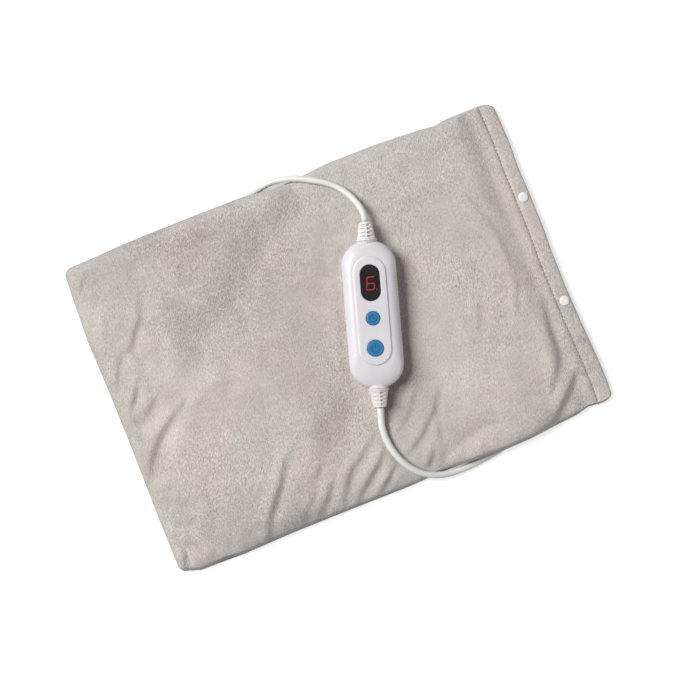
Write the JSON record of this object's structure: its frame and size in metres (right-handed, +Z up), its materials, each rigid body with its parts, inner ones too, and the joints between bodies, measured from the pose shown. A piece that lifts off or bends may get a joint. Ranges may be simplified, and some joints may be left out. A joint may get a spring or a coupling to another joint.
{
  "type": "heating pad with hand controller",
  "caption": "Electric heating pad in a light grey plush cover with a snap-closed mouth, and a white hand controller with a display window and blue buttons lying on it.",
  "frame": {"origin": "on the resting plane, under the middle of the cover", "axes": "+X along the cover's long sides towards its hemmed mouth, +Y across it towards the edge that the pad lead crosses, +Z up"},
  "size_m": [0.4334, 0.3178, 0.0369],
  "materials": {
    "plush": "short brushed plush",
    "felt": "needled felt",
    "wire_jacket": "extruded",
    "snap_plastic": "moulded",
    "white_plastic": "moulded, softly polished",
    "lead_jacket": "smooth",
    "blue_plastic": "satin",
    "lens_plastic": "polished",
    "black_plastic": "moulded",
    "board_laminate": "solder-masked laminate",
    "red_epoxy": "dipped",
    "fuse_glass": "tube",
    "screw_steel": "plated",
    "pin_brass": "plated and polished"
  },
  "bodies": {
    "root": {"cover": "plush", "snap_1_cap": "snap_plastic", "snap_1_socket": "snap_plastic", "snap_1_stud": "snap_plastic", "snap_1_backing_cap": "snap_plastic", "snap_2_cap": "snap_plastic", "snap_2_socket": "snap_plastic", "snap_2_stud": "snap_plastic", "snap_2_backing_cap": "snap_plastic", "inner_pad_lower_sheet": "felt", "inner_pad_upper_sheet": "felt", "heating_wire": "wire_jacket", "overheat_cutout": "black_plastic", "pad_lead_gland": "lead_jacket", "pad_lead": "lead_jacket", "mains_lead": "lead_jacket", "mains_lead_tail": "lead_jacket", "mains_lead_coil": "lead_jacket", "coil_tie": "black_plastic", "plug_pin_1": "pin_brass", "plug_pin_sleeve_1": "black_plastic", "plug_pin_2": "pin_brass", "plug_pin_sleeve_2": "black_plastic", "plug_body": "lead_jacket", "plug_strain_relief": "lead_jacket", "controller_top_shell": "white_plastic", "controller_base_shell": "white_plastic", "housing_screw_1": "screw_steel", "housing_screw_2": "screw_steel", "housing_screw_3": "screw_steel", "housing_screw_4": "screw_steel", "display_lens": "lens_plastic", "circuit_board": "board_laminate", "display_module": "black_plastic", "timer_switch_body": "black_plastic", "power_switch_body": "black_plastic", "fuse": "fuse_glass", "film_capacitor": "red_epoxy", "smoothing_capacitor": "black_plastic", "triac": "black_plastic", "control_chip": "black_plastic", "pad_lead_strain_relief": "lead_jacket", "mains_lead_strain_relief": "lead_jacket", "pad_lead_cores": "wire_jacket", "mains_lead_cores": "wire_jacket"},
    "timer_button": {"timer_button": "blue_plastic"},
    "power_button": {"power_button": "blue_plastic"},
    "timer_plunger": {"timer_switch_plunger": "screw_steel"},
    "power_plunger": {"power_switch_plunger": "screw_steel"}
  },
  "joints": [
    {"name": "timer_button_press", "type": "slide", "parent": "root", "child": "timer_button", "axis": [0, 0, -1], "range_m": [0, 0.0008], "stiffness_N_per_m": 900},
    {"name": "power_button_press", "type": "slide", "parent": "root", "child": "power_button", "axis": [0, 0, -1], "range_m": [0, 0.0008], "stiffness_N_per_m": 900},
    {"name": "timer_plunger_slide", "type": "slide", "parent": "root", "child": "timer_plunger", "axis": [0, 0, -1], "range_m": [0, 0.0008]},
    {"name": "power_plunger_slide", "type": "slide", "parent": "root", "child": "power_plunger", "axis": [0, 0, -1], "range_m": [0, 0.0008]}
  ],
  "couplings": [
    {"joint": "timer_plunger_slide", "follows": "timer_button_press", "ratio": 1},
    {"joint": "power_plunger_slide", "follows": "power_button_press", "ratio": 1}
  ]
}
